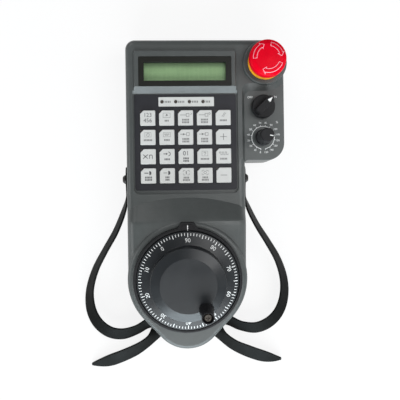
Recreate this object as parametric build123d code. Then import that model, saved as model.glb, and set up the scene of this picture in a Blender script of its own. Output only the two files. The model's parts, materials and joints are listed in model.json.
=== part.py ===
from build123d import *
import os
from math import asin, cos, radians, sin, sqrt, tan

# Hand-held machine operator's pendant with a graduated pulse handwheel.
# It lies on its back: +Z leaves the key side, +Y runs towards the display end, and X is 0 on the
# centre line. The origin is in the flat rear rest face, at the middle of its length. Millimetres.

# Clearances
fit = 0.02
running_gap = 0.03
clearance = 0.1
root_depth = 1.0
far = 200.0

# Keys
key_columns = 5
key_rows = 4
key_size = 12.0
key_gap_x = 3.0
key_gap_y = 3.3
key_corner_cut = 2.6
key_corner_round = 0.8
key_edge_round = 0.4
key_height = 1.5
key_flange_lip = 0.7
key_flange_round = 1.0
key_flange_thickness = 1.0
key_travel = 0.8
key_clearance = 0.2
lamp_radius = 0.65
lamp_inset = 0.4
lamp_height = 0.6
mat_thickness = 1.6
mat_overlap = 0.4
mat_rim_width = 1.9
board_thickness = 1.6
key_pitch_x = key_size + key_gap_x
key_pitch_y = key_size + key_gap_y

# Strip of status lamps above the keys
strip_width = 44.2
strip_corner_round = 0.6
strip_height = 7.4
strip_x = 0.8
strip_head_gap = 2.7
strip_foot_gap = 1.55
strip_thickness = 0.3
status_count = 4
status_pitch = (strip_width - strip_corner_round) / status_count
status_first_inset = 2.8
status_radius = 1.35
status_rise = 0.5

# Key field, from the strip down
plate_margin = 3.0
plate_border = 1.3
plate_head_gap = 0.6
plate_tail_gap = 3.2
key_tail = 7.05
plate_low_round = 2.0
plate_high_round = 1.0
plate_thickness = 2.5
plate_step = 2.0
recess_depth = 2.0
recess_low_round = 5.0
recess_high_round = 1.5
ledge = 2.1
plate_half_width = key_columns * key_pitch_x / 2 + plate_margin
recess_half_width = plate_half_width + plate_border
recess_length = strip_head_gap + strip_height + strip_foot_gap + key_rows * key_pitch_y + key_tail

# Display in its raised bezel
bezel_half_width = plate_half_width
bezel_height = 2.5
bezel_slope_length = 5.3
bezel_edge_round = 1.0
bezel_corner_round = 2.0
pane_side_margin = 3.7
pane_head_margin = 5.0
pane_foot_margin = 5.6
pane_height = 23.4
pane_thickness = 1.4
pane_sink = 0.2
pane_corner_round = 1.0
view_margin = 3.8
glass_margin = 0.4
glass_rise = 2.6
module_margin_x = 0.2
module_margin_y = 1.8
module_depth = 5.0
pane_width = 2 * (bezel_half_width - pane_side_margin)
bezel_length = pane_head_margin + pane_height + pane_foot_margin
view_width = pane_width - 2 * view_margin
view_height = pane_height - 2 * view_margin

# Cable inlet in the display end
wall = 2.5
gland_x = -20.0
gland_floor_gap = 2.0
gland_head_gap = 3.5
gland_bore = 3.0
gland_wall = 2.0
gland_nose_wall = 2.6
gland_nose_length = 3.0
gland_flat_wall = 1.5
gland_hex_length = 2.5
gland_inner_length = 7.0
gland_nut_length = 3.0
gland_radius = gland_bore + gland_wall
gland_nose_radius = gland_bore + gland_nose_wall
gland_across = 2 * (gland_radius + gland_flat_wall)
gland_z = wall + gland_floor_gap + gland_across / 2

# Case
case_thickness = 46.0
rear_depth = wall + gland_across + gland_head_gap
side_margin = 5.5
end_margin = 9.3
rest_tail = 35.8
case_corner_round = 7.5
top_edge_round = 5.0
rear_edge_round = 4.0
tail_lift = 4.0
tail_edge_round = 2.0
reveal_depth = 0.5
reveal_height = 0.8
side_x = recess_half_width + side_margin
rest_half_length = (end_margin + bezel_length + recess_length + rest_tail) / 2
bezel_high_y = rest_half_length - end_margin
recess_high_y = bezel_high_y - bezel_length
recess_low_y = recess_high_y - recess_length
display_y = bezel_high_y - pane_head_margin - pane_height / 2
strip_y = recess_high_y - strip_head_gap - strip_height / 2
key_top_row_y = recess_high_y - strip_head_gap - strip_height - strip_foot_gap - key_pitch_y / 2
tail_rear_z = rear_depth - tail_lift

# Emergency stop: everything round it is sized from its barrel
barrel_radius = 8.0
barrel_rise = 0.4
boss_overhang = 9.6
boss_height = 2.5
boss_panel = 3.0
boss_edge_round = 1.2
collar_overhang = 5.8
collar_taper = 0.6
collar_height = 2.6
collar_lip = 1.0
cap_overhang = 6.5
cap_height = 11.5
cap_crown = 0.5
cap_under_step = 2.2
cap_foot_inset = 5.0
cap_waist_inset = 3.0
cap_shoulder = 3.6
stop_travel = 4.0
cap_spare_gap = 0.6
pocket_overhang = 5.5
stop_nut_wall = 2.5
stop_nut_height = 4.0
stop_block_overhang = 2.0
stop_block_round = 1.5
stop_block_depth = 21.0
stop_block_drop = 13.0
stop_bore_depth = 10.0
stem_inset = 3.0
neck_inset = 1.5
neck_length = 5.0
boss_radius = barrel_radius + boss_overhang
cap_radius = barrel_radius + cap_overhang
stem_radius = barrel_radius - stem_inset
neck_radius = stem_radius - neck_inset

# Selector and override knobs
spindle_radius = 2.5
spindle_rise = 3.0
selector_bush_wall = 2.0
override_bush_wall = 1.0
selector_nut_wall = 1.0
override_nut_wall = 0.5
selector_lip = 4.75
override_lip = 3.0
selector_disc_height = 6.5
selector_grip_width = 5.7
selector_grip_height = 9.5
selector_rest_angle = -45.0
override_taper = 1.1
override_height = 24.0
override_skirt_height = 4.5
flute_count = 12
flute_radius = 0.6
switch_depth = 12.0
selector_block_margin = 4.0
override_block_margin = 3.0
switch_block_round = 1.0
bush_rise = 2.4
switch_nut_height = 1.8
cave_clearance = 0.4
knob_gap = 0.3
selector_bush_radius = spindle_radius + selector_bush_wall
override_bush_radius = spindle_radius + override_bush_wall
selector_nut_across = 2 * (selector_bush_radius + selector_nut_wall)
override_nut_across = 2 * (override_bush_radius + override_nut_wall)
selector_radius = selector_bush_radius + selector_lip
override_radius = override_bush_radius + override_lip

# Wing that carries them
wing_width = 32.3
wing_corner_round = 14.0
wing_top_round = 17.0
wing_notch_round = 3.0
wing_tail = 11.6
boss_bulge = 1.8
boss_end_gap = 1.7
knob_inset = 1.6
selector_head_gap = 3.95
knob_spacing = 8.75
knob_step = 3.0
step_side_slope = 2.0
step_top_slope = 5.5
step_corner_round = 6.0
step_ring_width = 4.1
step_ring_end_angle = 30.0
panel_thickness = 2.5
wing_x = side_x + wing_width
step_radius = boss_radius + step_ring_width
stop_x = wing_x + boss_bulge - boss_radius
knob_x = stop_x - knob_inset
estop_y = rest_half_length - boss_end_gap - boss_radius
selector_y = estop_y - step_radius - selector_head_gap - selector_radius
override_y = selector_y - selector_radius - knob_spacing - override_radius
wing_low_y = override_y - override_radius - wing_tail

# Handwheel
shaft_radius = 3.0
shaft_reach = 8.0
shaft_end_gap = 0.3
bearing_wall = 5.0
bearing_width = 4.5
turret_bulge = 0.2
turret_margin = 4.5
dial_gap = 0.6
dial_lift = 0.8
dial_edge_height = 1.9
dial_slope_rise = 2.6
dial_wall = 2.2
dial_core_lift = 1.0
scale_width = 10.5
hub_height = 12.9
hub_slope_width = 7.5
hub_top_rise = 2.7
flange_rim_width = 2.4
flange_plate = 1.6
flange_rim_height = 3.4
collar_wall = 2.5
tab_length = 3.8
tab_base_half = 8.3
tab_tip_half = 5.0
tab_pad_half = 4.5
tab_pad_inset = 1.8
tab_pad_rise = 0.5
bearing_radius = shaft_radius + bearing_wall
turret_radius = side_x + turret_bulge
flange_radius = turret_radius - turret_margin
dial_radius = flange_radius - flange_rim_width - dial_gap
hub_radius = dial_radius - scale_width
hub_top_radius = hub_radius - hub_slope_width

# Encoder behind the handwheel
encoder_radius = 28.0
encoder_depth = 22.0
encoder_wall = 2.0
encoder_disc_inset = 8.0
encoder_disc_thickness = 0.8
encoder_disc_depth = 9.5
encoder_hub_wall = 2.5
encoder_hub_length = 4.0
encoder_board_depth = 15.0
encoder_board_inset = 17.0
encoder_disc_radius = encoder_radius - encoder_disc_inset
encoder_board_bore = encoder_radius - encoder_board_inset

# Crank
crank_angle = -54.0
crank_height = 18.5
crank_base_radius = 5.8
crank_boss_lip = 0.1
crank_boss_rise = 0.3
crank_edge_gap = 0.3
crank_waist_cut = 1.4
crank_top_cut = 0.9
crank_cup_wall = 0.9
crank_cup_depth = 3.6
crank_head_gap = 1.0
crank_head_height = 1.8
crank_thread_radius = 1.75
crank_shoulder = 0.6
crank_thread_depth = 9.0
crank_lift = 0.15
cross_slot_width = 0.7
cross_slot_length = 3.6
cross_slot_depth = 0.9
crank_boss_radius = crank_base_radius + crank_boss_lip
crank_radius = hub_radius - crank_boss_radius - crank_edge_gap
crank_bore = crank_thread_radius + crank_shoulder
crank_top_radius = crank_base_radius - crank_top_cut
crank_cup_radius = crank_top_radius - crank_cup_wall
crank_head_radius = crank_cup_radius - crank_head_gap

# Turret under the handwheel, the tongue below it, and the ramp that rises to it from the key field
wheel_tilt = 10.0
wheel_rise = 4.0
turret_gap = 20.3
turret_plate = 3.0
turret_edge_round = 3.5
tip_length = 29.0
tip_inset = 19.5
ramp_foot_gap = 2.8
ramp_slope = 0.62
ramp_crown = 3.2
ramp_side_gap = 0.25
ramp_least_crown = 0.3
ramp_edge_round = 8.0
ramp_ease = 1.5
ramp_sink = 0.5
wheel_y = recess_low_y - turret_gap - turret_radius
wheel_z = case_thickness + wheel_rise
tip_y = wheel_y - tip_length
tip_radius = turret_radius - tip_inset
ramp_foot_y = recess_low_y - ramp_foot_gap

# Straps, their studs and the guide behind the lower end
strap_width = 12.0
strap_thickness = 1.5
strap_tip_share = 0.35
stud_lift = 12.7
stud_rise = 8.0
stud_shank_radius = 2.0
stud_head_lip = 1.7
stud_head_height = 2.6
stud_head_rim = 0.8
stud_foot_lip = 2.0
stud_foot_height = 1.5
strap_seat_gap = 0.1
guide_inset = 4.5
guide_length = 14.0
guide_foot = 6.5
guide_play = 1.2
guide_slot_height = 9.0
guide_floor = 2.5
guide_corner_round = 2.0
guide_chamfer = 1.0
guide_screw_radius = 1.25
guide_head_lip = 1.05
guide_head_height = 1.6
guide_head_sink = 0.4
guide_screw_end_gap = 0.5
guide_socket_across = 2.0
guide_boss_wall = 2.35
guide_boss_height = 5.5
stud_y = recess_low_y + stud_lift
stud_z = rear_depth + stud_rise
stud_head_radius = stud_shank_radius + stud_head_lip
stud_foot_radius = stud_shank_radius + stud_foot_lip
guide_y = tip_y - guide_inset
guide_slot_width = strap_width + guide_play
guide_head_radius = guide_screw_radius + guide_head_lip
guide_boss_radius = guide_screw_radius + guide_boss_wall
guide_seat_z = guide_head_sink + guide_head_height
guide_boss_z = tail_rear_z + guide_boss_height
guide_screw_length = guide_boss_z - root_depth - guide_screw_end_gap - guide_seat_z

# Case screws and seal
screw_radius = 1.5
screw_head_lip = 1.3
screw_head_height = 2.2
screw_length = 16.0
screw_socket_across = 2.5
screw_seat_drop = 9.0
tail_seat_floor = 2.3
column_wall = 2.5
screw_inset = 6.3
screw_end_inset = 6.0
screw_tail_inset = 13.5
wing_screw_inset = 7.5
tail_screw_inset = 4.0
tail_screw_drop = 5.5
seal_inset = 0.9
seal_width = 0.9
seal_depth = 1.2
screw_head_radius = screw_radius + screw_head_lip
screw_seat_z = rear_depth - screw_seat_drop
column_radius = screw_radius + column_wall
upper_screws = [
    (screw_inset - side_x, rest_half_length - screw_end_inset),
    (side_x - screw_inset, rest_half_length - screw_end_inset),
    (wing_x - wing_screw_inset, wing_low_y + wing_screw_inset),
    (screw_inset - side_x, screw_tail_inset - rest_half_length),
    (side_x - screw_inset, screw_tail_inset - rest_half_length)]
tail_screws = [
    (tail_screw_inset - tip_radius, tip_y - tail_screw_drop),
    (tip_radius - tail_screw_inset, tip_y - tail_screw_drop)]

# Main board
board_side_gap = 11.3
board_end_gap = 9.5
board_tail_gap = 23.5
board_lift = 5.0
board_corner_round = 1.0
header_length = 30.0
header_width = 6.0
header_height = 5.0
chip_size = 18.0
chip_height = 2.0
socket_length = 14.0
socket_width = 9.0
socket_height = 8.0
connector_inset = 8.0
post_radius = 3.0
post_inset = 5.0
main_board_half_width = side_x - board_side_gap
main_board_low_y = board_tail_gap - rest_half_length
main_board_high_y = rest_half_length - board_end_gap
main_board_z = rear_depth + board_lift

# Heights that follow
knob_face_z = case_thickness - knob_step
boss_top_z = case_thickness + boss_height
bezel_top_z = case_thickness + bezel_height
recess_floor_z = case_thickness - recess_depth
plate_low_z = recess_floor_z - plate_step
plate_top_z = plate_low_z + plate_thickness
ceiling_z = recess_floor_z - wall
wing_ceiling_z = knob_face_z - panel_thickness
stop_ceiling_z = boss_top_z - boss_panel


def prism(plan, low, high):
    """Straight upright solid of a plan between two heights."""
    return extrude(Pos(0, 0, low) * plan, amount=high - low, dir=(0, 0, 1))


def rounded_polygon(*corners):
    """Plan through the corners; each corner is x, y and its own rounding radius."""
    points = [(corner[0], corner[1]) for corner in corners]
    radii = [corner[2] for corner in corners]
    return make_face(FilletPolyline(*points, radius=radii, close=True))


def turned(*corners):
    """Solid of revolution about Z; each corner is radius, height and its own rounding."""
    return revolve(Plane.XZ * rounded_polygon(*corners), axis=Axis.Z)


def rod(radius, low, high, x=0.0, y=0.0):
    """Upright round rod."""
    return Pos(x, y, low) * extrude(Circle(radius), amount=high - low, dir=(0, 0, 1))


def tube(outer, inner, low, high, x=0.0, y=0.0):
    """Upright round tube."""
    return rod(outer, low, high, x, y) - rod(inner, low - 1, high + 1, x, y)


def hexagon(across, low, high, x=0.0, y=0.0):
    """Upright six-sided prism, sized across its flats."""
    corner_radius = across / sqrt(3)
    return prism(Pos(x, y) * RegularPolygon(corner_radius, 6), low, high)


def top_rim(solid):
    """Edges round the highest face of a solid."""
    return solid.faces().sort_by(Axis.Z)[-1].edges()


def low_rim(solid):
    """Edges round the lowest face of a solid."""
    return solid.faces().sort_by(Axis.Z)[0].edges()


def on_wheel(shape):
    """Places a shape that is drawn about Z on the tilted axis of the handwheel."""
    return Pos(0, wheel_y, wheel_z) * Rot(wheel_tilt, 0, 0) * shape


# Plans of the case, each drawn in from the outer wall by an inset
def main_plan(inset):
    x = side_x - inset
    high = rest_half_length - inset
    corner = case_corner_round - inset
    return rounded_polygon((x, wheel_y, 0), (x, high, 0), (-x, high, corner), (-x, wheel_y, 0))


def wing_plan(inset):
    x = wing_x - inset
    low = wing_low_y + inset
    high = rest_half_length - inset
    low_corner = wing_corner_round - inset
    high_corner = wing_top_round - inset
    return rounded_polygon((0, low, 0), (x, low, low_corner), (x, high, high_corner), (0, high, 0))


def boss_plan(inset):
    return Pos(stop_x, estop_y) * Circle(boss_radius - inset)


def end_plan(inset):
    """Round turret end and the smaller round tip, joined by their tangents."""
    big = turret_radius - inset
    small = tip_radius - inset
    lean = asin((turret_radius - tip_radius) / (wheel_y - tip_y))
    big_x = big * cos(lean)
    big_low_y = wheel_y - big * sin(lean)
    small_x = small * cos(lean)
    small_low_y = tip_y - small * sin(lean)
    upper = ThreePointArc((big_x, big_low_y), (0, wheel_y + big), (-big_x, big_low_y))
    left = Line((-big_x, big_low_y), (-small_x, small_low_y))
    lower = ThreePointArc((-small_x, small_low_y), (0, tip_y - small), (small_x, small_low_y))
    right = Line((small_x, small_low_y), (big_x, big_low_y))
    return make_face(Wire([upper.edge(), left.edge(), lower.edge(), right.edge()]))


def tail_plan(inset):
    """Plan of the raised rear behind the handwheel."""
    return main_plan(inset) + end_plan(inset)


def rest_plan(inset):
    """Plan of the thick rear part that the pendant lies on."""
    x = side_x - inset
    y = rest_half_length - inset
    corner = case_corner_round - inset
    block = rounded_polygon((x, -y, corner), (x, y, 0), (-x, y, corner), (-x, -y, corner))
    return block + wing_plan(inset) + boss_plan(inset)


def case_plan(inset):
    return main_plan(inset) + end_plan(inset) + wing_plan(inset) + boss_plan(inset)


def above_turret(drop):
    """Everything above the tilted plane that lies a given depth under the turret's face."""
    block = Pos(0, 0, far / 2 - drop) * Box(2 * far, 2 * far, far)
    return on_wheel(block)


def step_cutter():
    """Lowers the knob side of the wing, with a slope that curves round the stop boss."""
    def outline(grow):
        share = grow / step_top_slope
        left = side_x - step_side_slope * share
        foot = estop_y - step_radius + grow
        radius = step_radius - grow
        end_angle = radians(step_ring_end_angle)
        mid_angle = radians((90 + step_ring_end_angle) / 2)
        end_x = stop_x + radius * cos(end_angle)
        end_y = estop_y - radius * sin(end_angle)
        mid_x = stop_x + radius * cos(mid_angle)
        mid_y = estop_y - radius * sin(mid_angle)
        corner = step_corner_round
        low = wing_low_y - root_depth - share
        right = stop_x + step_radius + wall + share
        side = Line((left, low), (left, foot - corner))
        inner = RadiusArc((left, foot - corner), (left + corner, foot), corner)
        flat = Line((left + corner, foot), (stop_x, foot))
        round_boss = ThreePointArc((stop_x, foot), (mid_x, mid_y), (end_x, end_y))
        out = Line((end_x, end_y), (right, end_y))
        down = Line((right, end_y), (right, low))
        back = Line((right, low), (left, low))
        path = [side, inner, flat, round_boss, out, down, back]
        return make_face(Wire([piece.edge() for piece in path]))

    top = Pos(0, 0, case_thickness) * outline(step_top_slope)
    foot = Pos(0, 0, knob_face_z) * outline(0)
    above = prism(outline(step_top_slope), case_thickness, case_thickness + far)
    return loft([foot, top], ruled=True) + above


def ramp(inset):
    """Crowned ramp across the case, from the end of the key field up to the turret's face."""
    side = side_x - ramp_side_gap - inset
    bend = ramp_edge_round - inset
    shoulder_x = side - bend
    low = rear_depth + root_depth
    span = ramp_foot_y - wheel_y
    sections = []
    for share in (1.04 - 0.04 * inset / wall, 0.80, 0.76, 0.73, 0.71, 0.69, 0.66, 0.60, -0.05):
        y = wheel_y + share * span
        slope_z = case_thickness + ramp_slope * (ramp_foot_y - y)
        face_z = wheel_z + (y - wheel_y) * tan(radians(wheel_tilt)) - ramp_sink
        crest = (slope_z + face_z - sqrt((slope_z - face_z) ** 2 + ramp_ease ** 2)) / 2 - inset
        shoulder = crest - ramp_least_crown - ramp_crown * max(0, min(1, 1.3 * share))
        arc_x = shoulder_x + bend * cos(radians(45))
        arc_z = shoulder - bend + bend * sin(radians(45))
        bottom = Line((-side, low), (side, low))
        right = Line((side, low), (side, shoulder - bend))
        right_arc = ThreePointArc((side, shoulder - bend), (arc_x, arc_z), (shoulder_x, shoulder))
        top = ThreePointArc((shoulder_x, shoulder), (0, crest), (-shoulder_x, shoulder))
        left_arc = ThreePointArc((-shoulder_x, shoulder), (-arc_x, arc_z), (-side, shoulder - bend))
        left = Line((-side, shoulder - bend), (-side, low))
        path = [bottom, right, right_arc, top, left_arc, left]
        section = make_face(Wire([piece.edge() for piece in path]))
        sections.append(Plane.XZ.offset(-y) * section)
    return loft(sections, ruled=True)


def key_centres():
    """Number and centre of each key, row by row from the display."""
    first_x = -key_pitch_x * (key_columns - 1) / 2
    number = 0
    for row in range(key_rows):
        for column in range(key_columns):
            number += 1
            yield number, first_x + column * key_pitch_x, key_top_row_y - row * key_pitch_y


def key_plan(grow):
    """Square key with one corner cut off for its lamp."""
    half = key_size / 2 + grow
    cut = key_corner_cut + grow * (2 - sqrt(2))
    corner = key_corner_round
    return rounded_polygon(
        (half, half, corner), (-half + cut, half, 0), (-half, half - cut, 0),
        (-half, -half, corner), (half, -half, corner))


def recess_plan():
    """Plan of the sunk key field."""
    x = recess_half_width
    return rounded_polygon(
        (x, recess_low_y, recess_low_round), (x, recess_high_y, recess_high_round),
        (-x, recess_high_y, recess_high_round), (-x, recess_low_y, recess_low_round))


def plate_plan(grow):
    """Plan of the key plate, or of the pocket it lies in."""
    x = plate_half_width + grow
    low = recess_low_y + plate_tail_gap - grow
    high = recess_high_y - plate_head_gap + grow
    return rounded_polygon((x, low, plate_low_round), (x, high, plate_high_round),
                           (-x, high, plate_high_round), (-x, low, plate_low_round))


def front_case():
    top = main_plan(0) + wing_plan(0)
    notch = top.vertices().sort_by_distance(Vertex(side_x, wing_low_y))[0]
    top = fillet(notch, wing_notch_round)
    shell = prism(top, rear_depth, case_thickness)
    shell = fillet(top_rim(shell), top_edge_round)
    shell -= step_cutter()
    shell += ramp(0)

    end = prism(end_plan(0), rear_depth, far) - above_turret(0)
    end = fillet(top_rim(end), turret_edge_round)
    below = Pos(0, wheel_y - far / 2, 0) * Box(2 * far, far, 2 * far)
    shell = (shell - below) + end

    boss = prism(boss_plan(0), rear_depth, boss_top_z)
    shell += fillet(top_rim(boss), boss_edge_round)

    x = bezel_half_width
    bezel_plan = rounded_polygon(
        (x, recess_high_y, 0), (x, bezel_high_y, bezel_corner_round),
        (-x, bezel_high_y, bezel_corner_round), (-x, recess_high_y, 0))
    bezel = prism(bezel_plan, case_thickness - root_depth, bezel_top_z)
    shell += fillet(top_rim(bezel), bezel_edge_round)

    slope_rise = bezel_top_z - recess_floor_z
    wedge_top_z = recess_floor_z + 2 * slope_rise
    wedge = Plane.YZ * make_face(Polyline(
        (recess_high_y - root_depth, recess_floor_z), (recess_high_y, recess_floor_z),
        (recess_high_y + 2 * bezel_slope_length, wedge_top_z), (recess_high_y - root_depth, wedge_top_z),
        close=True))
    shell -= extrude(wedge, amount=recess_half_width, both=True)
    shell -= prism(recess_plan(), recess_floor_z, far)
    shell -= prism(plate_plan(clearance), plate_low_z, far)
    shell -= prism(plate_plan(-ledge), 0, far)

    pane_seat_z = bezel_top_z - pane_sink - pane_thickness
    shell -= prism(pane_plan(clearance), pane_seat_z, far)
    shell -= prism(pane_plan(-view_margin), 0, far)

    shell -= prism(main_plan(wall), 0, ceiling_z)
    shell -= prism(wing_plan(wall) + boss_plan(wall), 0, wing_ceiling_z)
    shell -= prism(end_plan(wall), 0, far) - above_turret(turret_plate)
    shell -= ramp(wall) - above_turret(turret_plate)
    shell -= on_wheel(rod(encoder_radius + clearance, -far / 4, far / 4))

    shell -= rod(barrel_radius + pocket_overhang, 0, stop_ceiling_z, stop_x, estop_y)
    shell -= rod(barrel_radius + clearance, 0, far, stop_x, estop_y)
    shell -= rod(selector_bush_radius + clearance, 0, far, knob_x, selector_y)
    shell -= rod(override_bush_radius + clearance, 0, far, knob_x, override_y)

    columns = Part()
    pilots = Part()
    for x, y in upper_screws + tail_screws:
        columns += rod(column_radius, rear_depth, bezel_top_z, x, y)
        pilots += rod(screw_radius + fit, rear_depth - root_depth, rear_depth + screw_length, x, y)
    envelope = prism(main_plan(root_depth), rear_depth, ceiling_z + root_depth)
    envelope += prism(wing_plan(root_depth), rear_depth, wing_ceiling_z + root_depth)
    envelope += prism(end_plan(root_depth), rear_depth, ceiling_z + root_depth)
    columns = (columns & envelope) - above_turret(root_depth)
    shell = shell + columns - pilots
    for side in (-1, 1):
        shell -= stud_hole(side, stud_shank_radius + fit)
    return shell


def pane_plan(grow):
    """Plan of the display's pane, its pocket or the opening under it."""
    width = pane_width + 2 * grow
    height = pane_height + 2 * grow
    return Pos(0, display_y) * RectangleRounded(width, height, pane_corner_round)


def stud_hole(side, radius):
    """Round hole or shank across a side wall, at a strap stud."""
    hole = Pos(side * side_x, stud_y, stud_z) * Rot(0, 90, 0) * Cylinder(radius, 4 * wall)
    return hole


def rear_case():
    rest_part = prism(rest_plan(0), 0, rear_depth - reveal_height)
    rest_part = fillet(low_rim(rest_part), rear_edge_round)
    tail_part = prism(tail_plan(0), tail_rear_z, rear_depth - reveal_height)
    tail_part = fillet(low_rim(tail_part), tail_edge_round)
    shell = rest_part + tail_part + prism(case_plan(reveal_depth), rear_depth - 2 * reveal_height, rear_depth)
    shell -= prism(rest_plan(wall), wall, far)
    shell -= prism(tail_plan(wall), tail_rear_z + wall, far)

    columns = Part()
    holes = Part()
    for x, y in upper_screws:
        columns += rod(column_radius, wall / 2, rear_depth, x, y)
        holes += rod(screw_head_radius + clearance, -root_depth, screw_seat_z, x, y)
        holes += rod(screw_radius + clearance, -root_depth, far, x, y)
    for x, y in tail_screws:
        columns += rod(column_radius, tail_rear_z + wall / 2, rear_depth, x, y)
        holes += rod(screw_head_radius + clearance, 0, tail_rear_z + tail_seat_floor, x, y)
        holes += rod(screw_radius + clearance, 0, far, x, y)
    for side in (-1, 1):
        x = side * (main_board_half_width - post_inset)
        columns += rod(post_radius, wall / 2, main_board_z, x, main_board_low_y + post_inset)
        columns += rod(post_radius, wall / 2, main_board_z, x, main_board_high_y - post_inset)
        y = guide_y + side * (guide_slot_width + guide_foot) / 2
        columns += rod(guide_boss_radius, tail_rear_z + wall / 2, guide_boss_z, 0, y)
        holes += rod(guide_screw_radius + fit, 0, guide_boss_z - root_depth, 0, y)
    column_limit = prism(case_plan(reveal_depth + root_depth), 0, main_board_z)
    shell = shell + (columns & column_limit) - holes
    shell -= seal_ring()
    gland_hole = Cylinder(gland_radius + clearance, 4 * wall)
    shell -= Pos(gland_x, rest_half_length, gland_z) * Rot(90, 0, 0) * gland_hole
    return shell


def seal_ring():
    """Cord seal in a groove of the rear rim."""
    outer = case_plan(seal_inset)
    inner = case_plan(seal_inset + seal_width)
    return prism(outer - inner, rear_depth - seal_depth, rear_depth)


def case_screw(x, y, seat):
    """Pan-head screw that enters from the rear."""
    head = rod(screw_head_radius, seat - screw_head_height, seat, x, y)
    shank = rod(screw_radius, seat, seat + screw_length, x, y)
    socket = hexagon(screw_socket_across, seat - 2 * screw_head_height, seat - screw_head_height / 2, x, y)
    return head + shank - socket


def case_screws():
    screws = [case_screw(x, y, screw_seat_z) for x, y in upper_screws]
    screws += [case_screw(x, y, tail_rear_z + tail_seat_floor) for x, y in tail_screws]
    return Compound(children=screws)


def key_plate():
    plate = prism(plate_plan(0), plate_low_z, plate_top_z)
    for _, x, y in key_centres():
        plate -= prism(Pos(x, y) * key_plan(key_clearance), 0, far)
    return plate


def key_cap(x, y):
    """White key: the cap stands in its window, and the flange is trapped under the plate."""
    flange_top = plate_low_z - key_clearance
    cap = prism(key_plan(0), flange_top - key_flange_thickness, plate_top_z + key_height)
    cap = fillet(top_rim(cap), key_edge_round)
    flange_size = key_size + 2 * key_flange_lip
    flange = prism(RectangleRounded(flange_size, flange_size, key_flange_round),
                   flange_top - key_flange_thickness, flange_top)
    return Pos(x, y) * (cap + flange)


def key_lamps():
    offset = key_size / 2 - lamp_inset
    lamps = []
    for _, x, y in key_centres():
        top = plate_top_z + lamp_height
        lamp = turned((0, plate_top_z, 0), (lamp_radius, plate_top_z, 0),
                      (lamp_radius, top, lamp_radius / 2), (0, top, 0))
        lamps.append(Pos(x - offset, y + offset) * lamp)
    return Compound(children=lamps)


def mat_top_z():
    return plate_low_z - key_clearance - key_flange_thickness - key_travel - clearance


def key_mat():
    """Rubber mat behind the keys, with a rim that meets the case."""
    top = mat_top_z()
    outer = plate_plan(mat_overlap)
    mat = prism(outer, top - mat_thickness, top)
    rim = prism(outer - plate_plan(mat_overlap - mat_rim_width), top - mat_thickness, ceiling_z)
    return mat + rim


def key_board():
    high = mat_top_z() - mat_thickness
    return prism(plate_plan(mat_overlap), high - board_thickness, high)


def status_centres():
    first_x = strip_x - strip_width / 2 + status_first_inset
    return [(first_x + index * status_pitch, strip_y) for index in range(status_count)]


def status_strip():
    plan = Pos(strip_x, strip_y) * RectangleRounded(strip_width, strip_height, strip_corner_round)
    strip = prism(plan, plate_top_z, plate_top_z + strip_thickness)
    for x, y in status_centres():
        strip -= rod(status_radius + clearance / 2, 0, far, x, y)
    return strip


def status_lamps():
    top = plate_top_z + strip_thickness + status_rise
    lamp = turned((0, plate_top_z, 0), (status_radius, plate_top_z, 0),
                  (status_radius, top, status_radius / 3), (0, top, 0))
    return Compound(children=[Pos(x, y) * lamp for x, y in status_centres()])


def display_pane():
    high = bezel_top_z - pane_sink
    return prism(pane_plan(0), high - pane_thickness, high)


def display_module():
    """Metal-framed module under the bezel, with its glass standing in the opening."""
    centre = Pos(0, display_y)
    module_width = pane_width + 2 * module_margin_x
    module_height = pane_height + 2 * module_margin_y
    glass_width = view_width - 2 * glass_margin
    glass_height = view_height - 2 * glass_margin
    frame = prism(centre * Rectangle(module_width, module_height), ceiling_z - module_depth, ceiling_z)
    glass = prism(centre * Rectangle(glass_width, glass_height), ceiling_z, ceiling_z + glass_rise)
    return frame + glass


def main_board():
    """Board on four posts, with a flat cable header, a chip and the cable's socket."""
    half = main_board_half_width
    low = main_board_low_y
    high = main_board_high_y
    top = main_board_z + board_thickness
    bend = board_corner_round
    plan = rounded_polygon((half, low, bend), (half, high, bend), (-half, high, bend), (-half, low, bend))
    board = prism(plan, main_board_z, top)
    connector_y = high - connector_inset
    header = Pos(0, connector_y, top + header_height / 2) * Box(header_length, header_width, header_height)
    chip = Pos(0, (low + high) / 2, top + chip_height / 2) * Box(chip_size, chip_size, chip_height)
    socket_z = main_board_z - socket_height / 2
    socket = Pos(gland_x, connector_y, socket_z) * Box(socket_length, socket_width, socket_height)
    return board + header + chip + socket


# Emergency stop
def estop_collar():
    low = boss_top_z
    high = low + collar_height
    bore = barrel_radius + clearance
    outer = barrel_radius + collar_overhang
    ring = turned((bore, low, 0), (outer, low, 0), (outer, low + collar_lip, collar_taper / 2),
                  (outer - collar_taper, high, collar_taper / 2), (bore, high, 0))
    return Pos(stop_x, estop_y) * ring


def estop_housing():
    """Contact block with the threaded barrel that comes up through the boss."""
    high = stop_ceiling_z - stop_block_drop
    size = 2 * (barrel_radius + stop_block_overhang)
    block = prism(RectangleRounded(size, size, stop_block_round), high - stop_block_depth, high)
    barrel = rod(barrel_radius, high, boss_top_z + collar_height + barrel_rise)
    bore = rod(stem_radius + running_gap, boss_top_z - stop_bore_depth, far)
    return Pos(stop_x, estop_y) * (block + barrel - bore)


def estop_nut():
    high = stop_ceiling_z
    across = 2 * (barrel_radius + stop_nut_wall)
    nut = hexagon(across, high - stop_nut_height, high) - rod(barrel_radius + fit, 0, far)
    return Pos(stop_x, estop_y) * nut


def cap_low_z():
    return boss_top_z + collar_height + stop_travel + cap_spare_gap


def estop_stem():
    """Plunger that slides in the barrel; its neck carries the turning cap."""
    low = boss_top_z - stop_bore_depth + stop_travel + clearance
    shoulder = cap_low_z() - clearance
    stem = rod(stem_radius, low, shoulder)
    neck = rod(neck_radius, shoulder, shoulder + neck_length)
    return Pos(stop_x, estop_y) * (stem + neck)


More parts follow.
